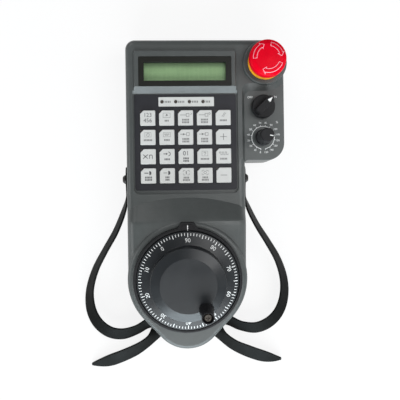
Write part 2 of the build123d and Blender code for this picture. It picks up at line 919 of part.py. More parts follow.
def estop_cap():
    """Mushroom cap with a drawn-in underside and a bore for the plunger's neck."""
    low = cap_low_z()
    high = low + cap_height
    bore = neck_radius + running_gap
    bore_top = low + neck_length
    step = low + cap_under_step
    lip = cap_under_step / 5
    cap = turned((bore, low, 0), (cap_radius - cap_foot_inset, low, 1),
                 (cap_radius - cap_waist_inset, step, 1.5), (cap_radius, step + lip, 2 * lip),
                 (cap_radius, high - cap_under_step, 2.5),
                 (cap_radius - cap_shoulder, high, 2.5), (0, high + cap_crown, 0), (0, bore_top, 0),
                 (bore, bore_top, 0))
    return Pos(stop_x, estop_y) * cap


# Rotary switches
def switch_body(y, block_margin, bush_radius):
    """Switch block under the panel with a threaded bush for its spindle."""
    top = wing_ceiling_z
    size = 2 * (bush_radius + block_margin)
    block = prism(RectangleRounded(size, size, switch_block_round), top - switch_depth, top)
    bush = rod(bush_radius, top, knob_face_z + bush_rise)
    bore = rod(spindle_radius + running_gap, top - switch_depth / 2, far)
    return Pos(knob_x, y) * (block + bush - bore)


def switch_nut(y, across, bush_radius):
    nut = hexagon(across, knob_face_z, knob_face_z + switch_nut_height) - rod(bush_radius + fit, 0, far)
    return Pos(knob_x, y) * nut


def spindle():
    low = wing_ceiling_z - switch_depth / 2 + clearance
    return rod(spindle_radius, low, knob_face_z + bush_rise + spindle_rise)


def knob_cave(across):
    """Hollow under a knob that clears its nut and bush."""
    return rod(across / sqrt(3) + cave_clearance, 0, knob_face_z + bush_rise + knob_gap)


def selector_knob():
    """Round disc with a narrow grip that ends in a blunt pointer."""
    low = knob_face_z + knob_gap
    disc_top = low + selector_disc_height
    disc = turned((0, low, 0), (selector_radius, low, 0.4), (selector_radius, disc_top, 0.8),
                  (0, disc_top, 0))
    half = selector_grip_width / 2
    reach = selector_radius - clearance
    tail = 1 - reach
    neck = reach - 2
    plan = rounded_polygon((half, tail, 1.2), (half, neck, 0.5), (0, reach, 0.6), (-half, neck, 0.5),
                           (-half, tail, 1.2))
    grip = prism(plan, disc_top - root_depth / 2, disc_top + selector_grip_height)
    grip = fillet(top_rim(grip), 0.7)
    knob = disc + grip - knob_cave(selector_nut_across) + spindle()
    return Pos(knob_x, selector_y) * Rot(0, 0, selector_rest_angle) * knob


def override_knob():
    """Round knob with a fluted grip."""
    low = knob_face_z + knob_gap
    high = low + override_height
    skirt = low + override_skirt_height
    grip_radius = override_radius - override_taper
    knob = turned((0, low, 0), (override_radius, low, 0.3), (override_radius, skirt, 0.8),
                  (grip_radius + 0.5, skirt + flute_radius, 0.3), (grip_radius, high, 0.8), (0, high, 0))
    flutes = Part()
    for index in range(flute_count):
        flute = rod(flute_radius, skirt + 2 * flute_radius, far, grip_radius + 1.1 * flute_radius)
        flutes += Rot(0, 0, (index + 0.5) * 360 / flute_count) * flute
    knob = knob - flutes - knob_cave(override_nut_across) + spindle()
    return Pos(knob_x, override_y) * knob


# Handwheel, drawn about Z with the turret's face at height 0
def wheel_flange():
    """Fixed ring round the dial, with the index tab at its top."""
    outer = flange_radius
    inner = dial_radius + dial_gap
    bore = bearing_radius + fit
    rim = flange_rim_height
    plate = turned((bore, 0, 0), (outer, 0, 0), (outer, rim, 0.8), (inner, rim, 0.5),
                   (inner, flange_plate, 0), (bore, flange_plate, 0))
    collar = tube(bearing_radius + collar_wall, bore, flange_plate - bearing_width, flange_plate / 2)
    base_y = inner + flange_rim_width / 3
    tip = outer + tab_length
    tab_plan = rounded_polygon((tab_base_half, base_y, 0), (tab_tip_half, tip, 1),
                               (-tab_tip_half, tip, 1), (-tab_base_half, base_y, 0))
    pad_tip = tip - tab_pad_inset
    pad_plan = rounded_polygon((tab_pad_half, base_y, 0), (tab_pad_half - 1, pad_tip, 0.5),
                               (1 - tab_pad_half, pad_tip, 0.5), (-tab_pad_half, base_y, 0))
    tab = prism(tab_plan, 0, rim)
    pad = prism(pad_plan, 0, rim + tab_pad_rise)
    return on_wheel(plate + collar + tab + pad)


def encoder_housing():
    """Cup that hangs from the flange and seats the rear bearing."""
    outer = encoder_radius
    inner = encoder_radius - encoder_wall
    floor = -encoder_depth + encoder_wall
    seat = bearing_radius + fit
    seat_high = floor + bearing_width
    cup = turned((0, -encoder_depth, 0), (outer, -encoder_depth, 1.5), (outer, 0, 0), (inner, 0, 0),
                 (inner, floor, 0), (seat + encoder_wall, floor, 0), (seat + encoder_wall, seat_high, 0),
                 (seat, seat_high, 0), (seat, floor, 0), (0, floor, 0))
    return on_wheel(cup)


def shaft_bearings():
    rear_low = -encoder_depth + encoder_wall
    front_high = flange_plate
    rear = tube(bearing_radius, shaft_radius + running_gap, rear_low, rear_low + bearing_width)
    front = tube(bearing_radius, shaft_radius + running_gap, front_high - bearing_width, front_high)
    return Compound(children=[on_wheel(rear), on_wheel(front)])


def dial_low():
    return flange_plate + dial_lift


def hub_wall_top():
    return dial_low() + hub_height


def hub_top():
    return hub_wall_top() + hub_top_rise


def wheel_shaft():
    low = encoder_wall - encoder_depth + shaft_end_gap
    return on_wheel(rod(shaft_radius, low, dial_low() + shaft_reach))


def encoder_disc():
    disc = rod(encoder_disc_radius, -encoder_disc_depth, -encoder_disc_depth + encoder_disc_thickness)
    hub = rod(shaft_radius + encoder_hub_wall, -encoder_disc_depth, -encoder_disc_depth + encoder_hub_length)
    return on_wheel(disc + hub - rod(shaft_radius, -far / 4, 0))


def encoder_board():
    board = tube(encoder_radius - encoder_wall - clearance, encoder_board_bore,
                 -encoder_board_depth, -encoder_board_depth + board_thickness)
    return on_wheel(board)


def crank_place(shape):
    angle = radians(crank_angle)
    return Pos(crank_radius * cos(angle), crank_radius * sin(angle), 0) * shape


def wheel_dial():
    """Graduated dial with a sloping scale, a raised hollow hub and the crank's boss."""
    low = dial_low()
    edge = low + dial_edge_height
    slope_top = edge + dial_slope_rise
    inner_top = hub_wall_top() - dial_wall / 2
    core_low = low + dial_core_lift
    core_high = low + shaft_reach
    dial_inner = dial_radius - dial_wall
    hub_inner = hub_radius - dial_wall
    dial = turned((shaft_radius, core_low, 0), (bearing_radius, core_low, 0), (bearing_radius, inner_top, 0),
                  (hub_top_radius - dial_wall, inner_top, 0), (hub_inner, inner_top - 1.5, 1),
                  (hub_inner, slope_top - dial_wall, 0), (dial_inner, edge - dial_wall + 1, 0),
                  (dial_inner, low, 0), (dial_radius, low, 0), (dial_radius, edge, 0.5),
                  (hub_radius, slope_top, 0.6), (hub_radius, hub_wall_top(), 0.5),
                  (hub_top_radius, hub_top(), 0.6), (0, hub_top(), 0), (0, core_high, 0),
                  (shaft_radius, core_high, 0))
    thread_low = hub_top() - crank_thread_depth
    boss = rod(crank_boss_radius, thread_low - root_depth, hub_top() + crank_boss_rise)
    hole = rod(crank_thread_radius + fit, thread_low - running_gap, far)
    dial = dial + crank_place(boss) - crank_place(hole)
    return on_wheel(dial)


def crank_low():
    return hub_top() + crank_boss_rise + crank_lift


def crank_knob():
    """Turning finger grip, waisted, with a cup for the screw head."""
    low = crank_low()
    high = low + crank_height
    cup = high - crank_cup_depth
    base = crank_base_radius
    waist = base - crank_waist_cut
    grip = turned((crank_bore, low, 0), (base, low, 0.5), (base - 0.1, low + 3, 2),
                  (waist, (low + high) / 2, 8), (crank_top_radius, high - 1, 1.2),
                  (crank_cup_radius + 0.2, high, 0.2), (crank_cup_radius, high - 0.4, 0),
                  (crank_cup_radius, cup, 0), (crank_bore, cup, 0))
    return on_wheel(crank_place(grip))


def crank_screw():
    """Shouldered screw that the grip turns on, with a cross recess."""
    head_low = crank_low() + crank_height - crank_cup_depth + crank_lift
    head_high = head_low + crank_head_height
    shoulder_low = hub_top() + crank_boss_rise
    screw = rod(crank_thread_radius, hub_top() - crank_thread_depth, shoulder_low + root_depth)
    screw += rod(crank_bore - running_gap, shoulder_low, head_low + root_depth)
    screw += turned((0, head_low, 0), (crank_head_radius, head_low, 0), (crank_head_radius, head_high, 0.8),
                    (0, head_high, 0))
    slot_z = head_high - cross_slot_depth / 2
    for angle in (0, 90):
        slot = Pos(0, 0, slot_z) * Box(cross_slot_length, cross_slot_width, cross_slot_depth)
        screw -= Rot(0, 0, angle) * slot
    return on_wheel(crank_place(screw))


# Straps. Each row is x, y, z and how far the band leans from upright, in degrees. The routes are laid
# out for the case half width, the stud and the guide given here, and stretch with the case.
route_side_x = 47.3
route_stud_y = -31.0
route_guide_y = -145.0
left_strap_route = [
    (-48.2, -21.0, 27.0, 0), (-48.2, -34.0, 27.0, 0), (-48.5, -46.0, 26.8, 5), (-51.2, -57.5, 26.0, 11),
    (-58.6, -74.0, 24.0, 17), (-67.5, -89.0, 21.0, 23), (-76.2, -105.5, 17.5, 29), (-81.5, -123.0, 13.8, 35),
    (-81.0, -139.0, 11.2, 41), (-75.5, -151.0, 9.9, 47), (-66.0, -158.5, 9.2, 51), (-55.0, -160.3, 8.9, 55),
    (-43.5, -157.0, 8.9, 60), (-31.5, -151.3, 8.9, 70), (-18.0, -146.8, 8.9, 86), (-7.5, -145.0, 8.8, 90),
    (7.5, -145.0, 8.8, 90), (19.5, -150.5, 8.6, 90), (32.5, -162.5, 7.6, 90), (45.5, -172.0, 5.4, 90),
    (58.4, -178.6, 3.6, 90), (71.0, -182.6, 2.3, 90), (81.0, -184.2, 1.5, 90)]
right_strap_route = [
    (48.2, -21.0, 27.0, 0), (48.2, -34.0, 27.0, 0), (48.7, -45.0, 26.8, 5), (52.4, -55.5, 26.0, 11),
    (60.2, -70.0, 24.2, 17), (69.4, -84.3, 21.4, 23), (77.4, -99.5, 18.0, 29), (81.6, -116.0, 14.6, 34),
    (81.6, -131.0, 12.0, 39), (77.6, -143.0, 10.4, 44), (69.8, -151.5, 9.6, 50), (59.0, -156.0, 9.2, 54),
    (46.5, -154.8, 8.2, 60), (33.5, -149.8, 5.9, 76), (19.0, -146.2, 4.6, 88), (7.5, -145.0, 4.4, 90),
    (-7.5, -145.0, 4.4, 90), (-20.0, -152.0, 4.2, 90), (-32.5, -165.5, 3.8, 90), (-45.0, -175.8, 3.0, 90),
    (-57.8, -182.0, 2.3, 90), (-70.5, -185.6, 1.7, 90), (-81.3, -187.2, 1.3, 90)]


def strap(route, side):
    """Flat band through the rows of a route, its lower edge leaning out of the loop."""
    stretch_x = side_x / route_side_x
    stretch_y = (guide_y - stud_y) / (route_guide_y - route_stud_y)
    points = [Vector(x * stretch_x, stud_y + (y - route_stud_y) * stretch_y, z) for x, y, z, _ in route]
    sections = []
    last = len(route) - 1
    for index, here in enumerate(points):
        lean = route[index][3]
        before = points[max(index - 1, 0)]
        after = points[min(index + 1, last)]
        along = (after - before).normalized()
        inboard = Vector(-along.Y, along.X, 0).normalized() * -side
        across = Vector(0, 0, cos(radians(lean))) + inboard * sin(radians(lean))
        width = strap_width * (strap_tip_share if index == last else 1)
        plane = Plane(origin=here, x_dir=across, z_dir=along)
        sections.append(plane * Rectangle(width, strap_thickness))
    band = loft(sections, ruled=True)
    return band - stud_hole(side, stud_shank_radius + clearance)


def strap_stud(side):
    """Riveted stud: a domed head outside the strap, a shank and a foot inside the wall."""
    outer = strap_thickness + 2 * strap_seat_gap
    profile = turned(
        (0, -wall - stud_foot_height, 0), (stud_foot_radius, -wall - stud_foot_height, 0.3),
        (stud_foot_radius, -wall, 0), (stud_shank_radius, -wall, 0), (stud_shank_radius, outer, 0),
        (stud_head_radius, outer, 0), (stud_head_radius, outer + stud_head_rim, 0.3),
        (stud_head_radius * 0.6, outer + stud_head_height, 1.2), (0, outer + stud_head_height, 0))
    return Pos(side * side_x, stud_y, stud_z) * Rot(0, side * 90, 0) * profile


def strap_guide():
    """Bridge screwed under the lower end; both straps pass through its slot."""
    width = guide_slot_width + 2 * guide_foot
    block = prism(Pos(0, guide_y) * RectangleRounded(guide_length, width, guide_corner_round), 0, tail_rear_z)
    block = chamfer(low_rim(block), guide_chamfer)
    slot_z = guide_floor + guide_slot_height / 2
    slot = Pos(0, guide_y, slot_z) * Box(2 * guide_length, guide_slot_width, guide_slot_height)
    block -= slot
    for side in (-1, 1):
        y = guide_y + side * (guide_slot_width + guide_foot) / 2
        block -= rod(guide_screw_radius + clearance, -root_depth, far, 0, y)
        block -= rod(guide_head_radius + clearance, -root_depth, guide_seat_z, 0, y)
    return block


def guide_screws():
    screws = []
    for side in (-1, 1):
        y = guide_y + side * (guide_slot_width + guide_foot) / 2
        head = rod(guide_head_radius, guide_head_sink, guide_seat_z, 0, y)
        shank = rod(guide_screw_radius, guide_seat_z, guide_seat_z + guide_screw_length, 0, y)
        socket = hexagon(guide_socket_across, 0, guide_seat_z - guide_head_height / 2, 0, y)
        screws.append(head + shank - socket)
    return Compound(children=screws)


# Cable inlet in the end wall, drawn about Z with the wall's outer face at height 0
def on_end_wall(shape):
    return Pos(gland_x, rest_half_length, gland_z) * Rot(-90, 0, 0) * shape


def cable_gland():
    hex_head = hexagon(gland_across, 0, gland_hex_length)
    nose_high = gland_hex_length + gland_nose_length
    nose = turned((0, gland_hex_length, 0), (gland_nose_radius, gland_hex_length, 0),
                  (gland_nose_radius, nose_high, 1.2), (0, nose_high, 0))
    sleeve = rod(gland_radius, -gland_inner_length, 0)
    return on_end_wall(hex_head + nose + sleeve - rod(gland_bore, -far / 4, far / 4))


def gland_nut():
    nut = hexagon(gland_across, -wall - gland_nut_length, -wall) - rod(gland_radius + fit, -far / 4, 0)
    return on_end_wall(nut)


def write(name, shape):
    export_step(shape, os.path.join("parts", name + ".step"))


os.makedirs("parts", exist_ok=True)
write("front_case", front_case())
write("rear_case", rear_case())
write("case_seal", seal_ring())
write("case_screws", case_screws())
write("keypad_overlay", key_plate())
for number, key_x, key_y in key_centres():
    write("key_" + str(number).zfill(2), key_cap(key_x, key_y))
write("key_leds", key_lamps())
write("keypad_mat", key_mat())
write("keypad_board", key_board())
write("status_strip", status_strip())
write("status_leds", status_lamps())
write("lcd_window", display_pane())
write("lcd_module", display_module())
write("main_board", main_board())
write("estop_collar", estop_collar())
write("estop_housing", estop_housing())
write("estop_nut", estop_nut())
write("estop_stem", estop_stem())
write("estop_cap", estop_cap())
write("selector_switch", switch_body(selector_y, selector_block_margin, selector_bush_radius))
write("selector_nut", switch_nut(selector_y, selector_nut_across, selector_bush_radius))
write("selector_knob", selector_knob())
write("override_switch", switch_body(override_y, override_block_margin, override_bush_radius))
write("override_nut", switch_nut(override_y, override_nut_across, override_bush_radius))
write("override_knob", override_knob())
write("wheel_flange", wheel_flange())
write("encoder_housing", encoder_housing())
write("encoder_board", encoder_board())
write("encoder_disc", encoder_disc())
write("shaft_bearings", shaft_bearings())
write("wheel_shaft", wheel_shaft())
write("wheel_dial", wheel_dial())
write("crank_knob", crank_knob())
write("crank_screw", crank_screw())
write("strap_left", strap(left_strap_route, -1))
write("strap_right", strap(right_strap_route, 1))
write("strap_studs", Compound(children=[strap_stud(-1), strap_stud(1)]))
write("strap_guide", strap_guide())
write("guide_screws", guide_screws())
write("cable_gland", cable_gland())
write("gland_nut", gland_nut())
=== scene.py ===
import json
from math import atan, cos, pi, radians, sin

import bmesh
import bpy
from mathutils import Matrix, Vector
from mathutils.bvhtree import BVHTree


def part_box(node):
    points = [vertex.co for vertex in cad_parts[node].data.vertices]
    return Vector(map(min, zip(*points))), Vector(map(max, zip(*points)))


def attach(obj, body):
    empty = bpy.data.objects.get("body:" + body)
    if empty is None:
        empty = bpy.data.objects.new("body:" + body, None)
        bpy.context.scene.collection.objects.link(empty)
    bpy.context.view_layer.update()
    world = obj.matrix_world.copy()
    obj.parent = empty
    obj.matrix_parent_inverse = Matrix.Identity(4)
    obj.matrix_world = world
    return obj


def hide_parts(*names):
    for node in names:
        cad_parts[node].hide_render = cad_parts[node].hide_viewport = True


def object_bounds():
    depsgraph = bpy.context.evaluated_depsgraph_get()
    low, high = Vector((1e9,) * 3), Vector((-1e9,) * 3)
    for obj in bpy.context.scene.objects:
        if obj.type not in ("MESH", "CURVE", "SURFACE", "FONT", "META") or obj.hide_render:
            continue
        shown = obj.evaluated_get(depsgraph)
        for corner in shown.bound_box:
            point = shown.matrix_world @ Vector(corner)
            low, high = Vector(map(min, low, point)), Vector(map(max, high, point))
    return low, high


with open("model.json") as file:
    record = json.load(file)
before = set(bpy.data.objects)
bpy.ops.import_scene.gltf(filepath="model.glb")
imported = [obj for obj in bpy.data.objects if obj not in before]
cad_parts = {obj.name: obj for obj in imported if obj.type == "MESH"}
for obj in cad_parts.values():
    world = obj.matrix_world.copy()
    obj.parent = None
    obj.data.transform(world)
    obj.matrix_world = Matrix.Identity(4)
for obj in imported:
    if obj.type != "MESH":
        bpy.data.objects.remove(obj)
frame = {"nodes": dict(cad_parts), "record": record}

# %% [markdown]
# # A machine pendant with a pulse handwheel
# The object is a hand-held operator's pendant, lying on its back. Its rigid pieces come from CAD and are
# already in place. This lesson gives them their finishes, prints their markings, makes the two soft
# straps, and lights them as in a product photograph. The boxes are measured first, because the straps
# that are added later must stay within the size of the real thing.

cad_low, cad_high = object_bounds()
MM = 0.001
UP = Vector((0, 0, 1))
print("frame box in mm:", [round(v / MM, 1) for v in cad_high - cad_low])

# %% [markdown]
# ## Plastics and metals
# Nearly every surface here is moulded plastic. A moulding tool leaves a fine, even grain in the surface,
# and handling leaves faint smudges that change only the gloss. One recipe can serve for all of them:
# a base colour that drifts a little, a slow noise for the roughness, and a fast noise for the grain. It
# reads Object coordinates, so a grain of 0.4 mm stays 0.4 mm on every piece.


# %% A recipe for moulded and machined surfaces
def shader_of(material):
    material.use_nodes = True
    return material.node_tree.nodes["Principled BSDF"]


def noise_node(material, size, detail=2.0, stretch=(1, 1, 1)):
    """A noise whose features are about one size across, in millimetres."""
    nodes, links = material.node_tree.nodes, material.node_tree.links
    place = nodes.new("ShaderNodeTexCoord")
    scale = nodes.new("ShaderNodeMapping")
    noise = nodes.new("ShaderNodeTexNoise")
    scale.inputs["Scale"].default_value = [s / (size * MM) for s in stretch]
    noise.inputs["Scale"].default_value = 1.0
    noise.inputs["Detail"].default_value = detail
    links.new(place.outputs["Object"], scale.inputs["Vector"])
    links.new(scale.outputs["Vector"], noise.inputs["Vector"])
    return noise.outputs["Fac"]


def mapped(material, value, source, target, blend="LINEAR"):
    """Maps one range of a value onto another."""
    node = material.node_tree.nodes.new("ShaderNodeMapRange")
    node.interpolation_type = blend
    for socket, number in zip(("From Min", "From Max", "To Min", "To Max"), (*source, *target)):
        node.inputs[socket].default_value = number
    material.node_tree.links.new(value, node.inputs["Value"])
    return node.outputs["Result"]


def spread(material, value, low, high):
    """Maps the middle of a noise, where most of its values lie, onto a range."""
    return mapped(material, value, (0.3, 0.7), (low, high))


def tinted(material, value, colour, drift):
    """A colour that drifts a little lighter and darker with a noise."""
    mix = material.node_tree.nodes.new("ShaderNodeMix")
    mix.data_type = "RGBA"
    mix.inputs["A"].default_value = [c * (1 - drift) for c in colour] + [1]
    mix.inputs["B"].default_value = [min(1, c * (1 + drift)) for c in colour] + [1]
    material.node_tree.links.new(spread(material, value, 0, 1), mix.inputs["Factor"])
    return mix.outputs["Result"]


COLOUR_CLOUD, GLOSS_SMUDGE = 6.0, 18.0


def surface(name, colour, rough, grain, depth, drift=0.06, smudge=0.06, shine=0.5, metal=0.0,
            stretch=(1, 1, 1)):
    """A finish; its grain is the texture's size and its depth the texture's height, in millimetres."""
    material = bpy.data.materials.new(name)
    shader = shader_of(material)
    links = material.node_tree.links
    tint = tinted(material, noise_node(material, COLOUR_CLOUD, 4), colour, drift)
    links.new(tint, shader.inputs["Base Color"])
    gloss = spread(material, noise_node(material, GLOSS_SMUDGE, 3), rough - smudge, rough + smudge)
    links.new(gloss, shader.inputs["Roughness"])
    bump = material.node_tree.nodes.new("ShaderNodeBump")
    bump.inputs["Strength"].default_value = 1.0
    bump.inputs["Distance"].default_value = depth * MM
    links.new(noise_node(material, grain, 2, stretch), bump.inputs["Height"])
    links.new(bump.outputs["Normal"], shader.inputs["Normal"])
    shader.inputs["Specular IOR Level"].default_value = shine
    shader.inputs["Metallic"].default_value = metal
    return material


# %% [markdown]
# ## The finishes of this pendant
# The case is a mid-grey moulding with a visible grain. The wheel and the knobs are black and smoother, the
# keys and the lamp strip are satin white, and the stop button is glossy red on a yellow collar. The
# straps are black rubber. Each finish is named after its slot in the record.

# %% Make one finish for each slot
finishes = {
    "case_grey": surface("case_grey", (0.057, 0.063, 0.0615), rough=0.38, grain=0.5, depth=0.02,
                         drift=0.05, smudge=0.05),
    "sheet_black": surface("sheet_black", (0.020, 0.020, 0.024), rough=0.42, grain=0.3, depth=0.006,
                           drift=0.08, shine=0.25),
    "key_white": surface("key_white", (0.545, 0.55, 0.535), rough=0.45, grain=0.4, depth=0.006,
                         drift=0.02, smudge=0.05),
    "rubber_black": surface("rubber_black", (0.005, 0.0055, 0.005), rough=0.5, grain=0.7, depth=0.03,
                            drift=0.12, smudge=0.07, shine=0.06),
    "black_plastic": surface("black_plastic", (0.013, 0.015, 0.017), rough=0.33, grain=0.4, depth=0.008,
                             drift=0.08, smudge=0.05, shine=0.4),
    "lamp_dark": surface("lamp_dark", (0.055, 0.045, 0.04), rough=0.18, grain=0.4, depth=0.003,
                         drift=0.1, smudge=0.03),
    "board_green": surface("board_green", (0.02, 0.12, 0.05), rough=0.35, grain=1.2, depth=0.01,
                           drift=0.15),
    "stop_red": surface("stop_red", (0.64, 0.0, 0.012), rough=0.34, grain=0.6, depth=0.004,
                        drift=0.04, smudge=0.05, shine=0.06),
    "stop_yellow": surface("stop_yellow", (0.80, 0.36, 0.01), rough=0.35, grain=0.5, depth=0.005,
                           drift=0.05),
    "steel": surface("steel", (0.56, 0.56, 0.55), rough=0.3, grain=0.3, depth=0.004, metal=1.0,
                     stretch=(1, 1, 0.05)),
    "screw_black": surface("screw_black", (0.03, 0.027, 0.026), rough=0.36, grain=0.4, depth=0.01,
                           drift=0.2, smudge=0.08, metal=0.5),
}
print("finishes:", len(finishes))

# %% [markdown]
# ## The display
# A reflective text display is a sheet of grey-green glass. Its unlit character cells show as faint blocks,
# in two rows. A Brick texture with no offset draws such a grid, centred on the display by a Mapping node.
# The upper edge carries painted shade, standing for the shadow of the window's rim on the glass, so the
# colour falls off over the last few millimetres. The pane in front is tinted plastic: alpha lets the display
# through and leaves the gloss.


# %% Make the display glass and the pane
def top_of(node):
    """The middle of a CAD piece in millimetres, and the level of its top as a placing matrix."""
    low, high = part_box(node)
    middle = (low + high) / 2
    return (middle.x / MM, middle.y / MM), Matrix.Translation((middle.x, middle.y, high.z))


DISPLAY, display_top = top_of("lcd_window")
CELL_WIDTH, CELL_HEIGHT, CELL_GAP = 3.65, 6.3, 0.35
# Where the painted shade at the upper edge begins and ends, in millimetres above the display's middle.
PAINTED_SHADE_START, PAINTED_SHADE_END = 2.0, 7.6


def cell_grid(material, place):
    """Faint blocks where the characters would be."""
    cells = material.node_tree.nodes.new("ShaderNodeTexBrick")
    cells.offset = 0
    cells.squash = 1
    cells.inputs["Scale"].default_value = 1.0
    cells.inputs["Brick Width"].default_value = CELL_WIDTH
    cells.inputs["Row Height"].default_value = CELL_HEIGHT
    cells.inputs["Mortar Size"].default_value = CELL_GAP
    cells.inputs["Mortar Smooth"].default_value = 0.2
    cells.inputs["Color1"].default_value = (0.92, 0.93, 0.92, 1)
    cells.inputs["Color2"].default_value = (0.94, 0.95, 0.94, 1)
    cells.inputs["Mortar"].default_value = (1, 1, 1, 1)
    material.node_tree.links.new(place, cells.inputs["Vector"])
    return cells.outputs["Color"]


def display_glass():
    material = surface("display_green", (0.48, 0.75, 0.38), rough=0.22, grain=0.6, depth=0.002,
                       drift=0.03, smudge=0.03)
    nodes, links = material.node_tree.nodes, material.node_tree.links
    shader = shader_of(material)
    place = nodes.new("ShaderNodeTexCoord")
    centre = nodes.new("ShaderNodeMapping")
    centre.inputs["Location"].default_value = (-DISPLAY[0], -DISPLAY[1], 0)
    centre.inputs["Scale"].default_value = (1 / MM, 1 / MM, 1 / MM)
    split = nodes.new("ShaderNodeSeparateXYZ")
    links.new(place.outputs["Object"], centre.inputs["Vector"])
    links.new(centre.outputs["Vector"], split.inputs["Vector"])
    # Painted shade: the colour darkens towards the upper edge, standing for the shadow of the window's rim.
    edge = mapped(material, split.outputs["Y"], (PAINTED_SHADE_START, PAINTED_SHADE_END), (1.0, 0.3), "SMOOTHSTEP")
    colour = shader.inputs["Base Color"].links[0].from_socket
    for factor in (cell_grid(material, centre.outputs["Vector"]), edge):
        mix = nodes.new("ShaderNodeMix")
        mix.data_type = "RGBA"
        mix.blend_type = "MULTIPLY"
        mix.inputs["Factor"].default_value = 1.0
        links.new(colour, mix.inputs["A"])
        links.new(factor, mix.inputs["B"])
        colour = mix.outputs["Result"]
    links.new(colour, shader.inputs["Base Color"])
    return material


finishes["display_green"] = display_glass()
finishes["pane_glass"] = surface("pane_glass", (0.02, 0.024, 0.02), rough=0.08, grain=2.0, depth=0.002,
                                 drift=0.05, smudge=0.02)
shader_of(finishes["pane_glass"]).inputs["Alpha"].default_value = 0.16
print("display middle in mm:", [round(v, 1) for v in DISPLAY])

# %% [markdown]
# ## Dress the CAD pieces
# The record says which slot each CAD piece takes its finish from, so a loop can hand the finishes out.
# The knobs and the ring round the dial are duller than the dial itself, which is polished by use. The
# crank's screw gets a lighter, warmer colour of painted sheen, standing for the highlights on its dark head.

# %% Hand out the finishes
dull_black = surface("dull_black", (0.011, 0.011, 0.012), rough=0.4, grain=0.4, depth=0.01,
                     drift=0.08, smudge=0.05, shine=0.18)
dull = ("selector_knob", "override_knob", "crank_knob", "wheel_flange")
dressed = 0
for part in frame["record"]["subparts"]:
    mesh = frame["nodes"][part["node"]].data
    mesh.materials.clear()
    mesh.materials.append(dull_black if part["node"] in dull else finishes[part["material_slot"]])
    dressed += 1
# Painted sheen: the crank screw is dark, and this lighter, warmer colour stands for the highlights on its
# head.
sheen_painted_screw = surface("sheen_painted_screw", (0.055, 0.047, 0.038), rough=0.36, grain=0.5, depth=0.02,
                     drift=0.2, smudge=0.08, metal=0.4)
frame["nodes"]["crank_screw"].data.materials[0] = sheen_painted_screw
print("CAD pieces dressed:", dressed)

# %% [markdown]
# ## Printed marks
# Scales, figures and symbols are screen printed: a layer of ink a few hundredths of a millimetre thick.
# They could be painted in a texture, but thin meshes stay sharp at any size and also come out in the
# exported shape. A mark is drawn flat, dropped onto the surface under it with rays, and given the
# thickness of the ink. The pens below draw lines, arcs and filled shapes from a few vertices.


# %% Pens for flat drawings
def draw_line(ink, start, end, width):
    """A straight bar between two points, in millimetres."""
    start, end = Vector(start), Vector(end)
    along = end - start
    turn = Matrix.Rotation(along.angle_signed(Vector((1, 0))), 4, "Z")
    size = Matrix.Diagonal((along.length + width, width, 1, 1))
    middle = Matrix.Translation(((start + end) / 2).to_3d())
    bmesh.ops.create_grid(ink, x_segments=4, y_segments=1, size=0.5, matrix=middle @ turn @ size)


def draw_path(ink, points, width):
    for start, end in zip(points, points[1:]):
        draw_line(ink, start, end, width)


def draw_arc(ink, centre, radius, first, last, width):
    """An arc between two clock angles in degrees, made by spinning one short edge."""
    turn = radians(first)
    heading = Vector((sin(turn), cos(turn), 0))
    hub = Vector((centre[0], centre[1], 0))
    inner = ink.verts.new(hub + heading * (radius - width / 2))
    outer = ink.verts.new(hub + heading * (radius + width / 2))
    edge = ink.edges.new((inner, outer))
    steps = max(8, int(abs(last - first) / 5))
    whole = abs(last - first) >= 360
    bmesh.ops.spin(ink, geom=[inner, outer, edge], cent=hub, axis=(0, 0, -1), angle=radians(last - first),
                   steps=steps, use_merge=whole)


def draw_shape(ink, points):
    """A filled shape through its corners."""
    ink.faces.new([ink.verts.new((x, y, 0)) for x, y in points])


CAPITAL_SHARE = 0.72


def draw_words(ink, words, centre, height, turn=0.0):
    """Plain figures or words, centred on a point; the turn is a clock angle in degrees."""
    curve = bpy.data.curves.new("words", "FONT")
    curve.body = words
    curve.size = height / CAPITAL_SHARE
    curve.align_x = "CENTER"
    curve.align_y = "CENTER"
    curve.resolution_u = 3
    holder = bpy.data.objects.new("words", curve)
    flat = bpy.data.meshes.new_from_object(holder)
    place = Matrix.Translation((centre[0], centre[1], 0)) @ Matrix.Rotation(-radians(turn), 4, "Z")
    flat.transform(place)
    ink.from_mesh(flat)
    bpy.data.objects.remove(holder)
    bpy.data.curves.remove(curve)
    bpy.data.meshes.remove(flat)


# %% Drop a drawing onto a CAD piece
INK = 0.03 * MM
DROP = 20 * MM


def printed(name, ink, place, node, body, finish):
    """Lays a flat drawing in millimetres on a CAD piece, and gives the ink its thickness."""
    target = frame["nodes"][node].data
    tree = BVHTree.FromPolygons([v.co for v in target.vertices], [p.vertices for p in target.polygons])
    axis = (place.to_3x3() @ UP).normalized()
    for vertex in ink.verts:
        flat = place @ (vertex.co * MM)
        hit = tree.ray_cast(flat + axis * DROP, -axis)[0]
        vertex.co = (hit or flat) + axis * INK
    bmesh.ops.recalc_face_normals(ink, faces=ink.faces)
    for face in ink.faces:
        if face.normal.dot(axis) < 0:
            face.normal_flip()
    bmesh.ops.solidify(ink, geom=ink.faces[:], thickness=INK / 2)
    mesh = bpy.data.meshes.new(name)
    ink.to_mesh(mesh)
    ink.free()
    mesh.materials.append(finish)
    piece = bpy.data.objects.new(name, mesh)
    bpy.context.scene.collection.objects.link(piece)
    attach(piece, body)
    print(name, "faces:", len(mesh.polygons))
    return piece


def ink_of(name, colour, rough=0.5, depth=0.004, drift=0.05, shine=0.5):
    return surface(name, colour, rough, 0.3, depth, drift, smudge=0.05, shine=shine)


